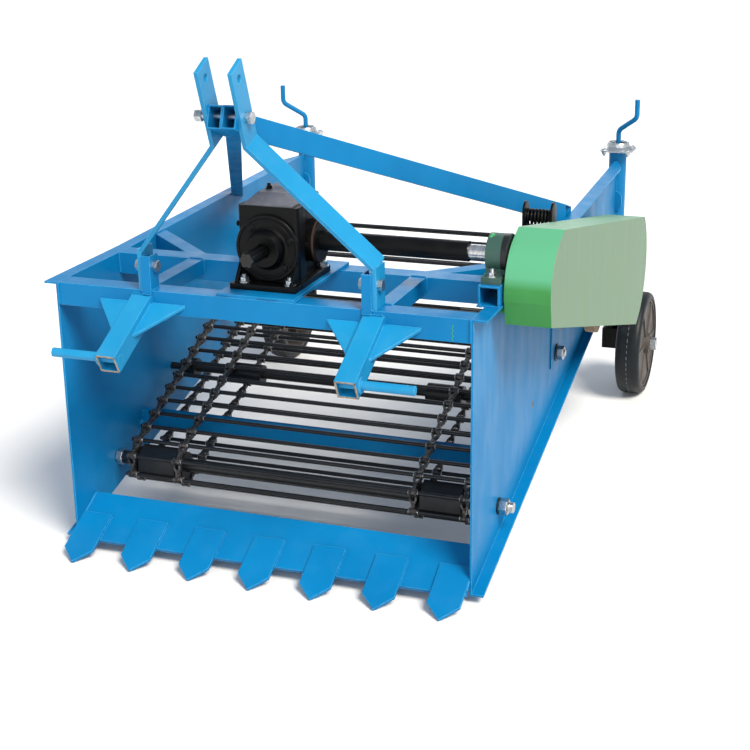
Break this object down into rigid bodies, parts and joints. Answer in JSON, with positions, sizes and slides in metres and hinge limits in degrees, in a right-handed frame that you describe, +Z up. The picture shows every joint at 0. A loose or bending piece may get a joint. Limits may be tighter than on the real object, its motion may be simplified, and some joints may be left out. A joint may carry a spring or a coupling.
{
  "type": "mounted potato digger",
  "caption": "Tractor-mounted potato digger: toothed share, rod-link web between two side plates, gearbox with chain drive, mast hitch and two screw-jack wheels.",
  "frame": {"origin": "floor level, at the middle of the machine's length and width", "axes": "+Z up, +Y to the rear, +X towards the side with the chain cover; the hitch faces -Y"},
  "size_m": [1.35, 1.9592, 1.2695],
  "materials": {
    "blue_paint": "gloss enamel",
    "cover_green_paint": "semi-gloss enamel",
    "bearing_green_paint": "semi-gloss enamel",
    "gearbox_black_paint": "black paint on a casting",
    "black_steel": "satin black paint",
    "grey_casting": "satin",
    "bright_steel": "ground",
    "zinc_plate": "zinc plated",
    "tyre_rubber": "solid rubber",
    "wheel_grey": "dull grey",
    "tan_paint": "worn tan paint"
  },
  "bodies": {
    "frame": {"side_plate_left": "blue_paint", "side_plate_right": "blue_paint", "front_beam": "blue_paint", "rear_beam": "blue_paint", "short_ties": "blue_paint", "diagonal_braces": "blue_paint", "gearbox_mount": "blue_paint", "digging_share": "blue_paint", "lower_arm_left": "blue_paint", "lower_arm_right": "blue_paint", "hitch_pin_left": "blue_paint", "hitch_pin_right": "blue_paint", "mast_leg_left": "blue_paint", "mast_leg_right": "blue_paint", "mast_lugs": "blue_paint", "lug_bolts": "zinc_plate", "mast_bolt": "zinc_plate", "long_brace_left": "blue_paint", "long_brace_right": "blue_paint", "gearbox": "gearbox_black_paint", "gearbox_lid": "grey_casting", "input_shaft": "black_steel", "shaft_guard": "black_steel", "cross_shaft": "bright_steel", "bearing_support": "blue_paint", "pedestal_bearing": "bearing_green_paint", "chain_cover": "cover_green_paint", "drive_chain": "black_steel", "tension_wheel": "tan_paint", "spring_tensioner": "black_steel", "web_chains": "black_steel", "web_rods": "black_steel", "web_idler": "black_steel", "web_drive_shaft": "black_steel", "carrying_rollers": "black_steel", "crossbar": "blue_paint", "jack_tube_left": "blue_paint", "jack_tube_right": "blue_paint", "jack_flange_left": "zinc_plate", "jack_flange_right": "zinc_plate", "crank_left": "blue_paint", "crank_right": "blue_paint"},
    "leg_left": {"wheel_leg_left": "black_steel"},
    "roller_left": {"tyre_left": "tyre_rubber", "wheel_left": "wheel_grey"},
    "leg_right": {"wheel_leg_right": "black_steel"},
    "roller_right": {"tyre_right": "tyre_rubber", "wheel_right": "wheel_grey"}
  },
  "joints": [
    {"name": "jack_left", "type": "slide", "parent": "frame", "child": "leg_left", "axis": [0, 0, 1], "range_m": [-0.1, 0.06]},
    {"name": "wheel_turn_left", "type": "hinge", "parent": "leg_left", "child": "roller_left", "pos_m": [-0.61, 0.81462, 0.165], "axis": [1, 0, 0], "continuous": true},
    {"name": "jack_right", "type": "slide", "parent": "frame", "child": "leg_right", "axis": [0, 0, 1], "range_m": [-0.1, 0.06]},
    {"name": "wheel_turn_right", "type": "hinge", "parent": "leg_right", "child": "roller_right", "pos_m": [0.61, 0.81462, 0.165], "axis": [1, 0, 0], "continuous": true}
  ]
}
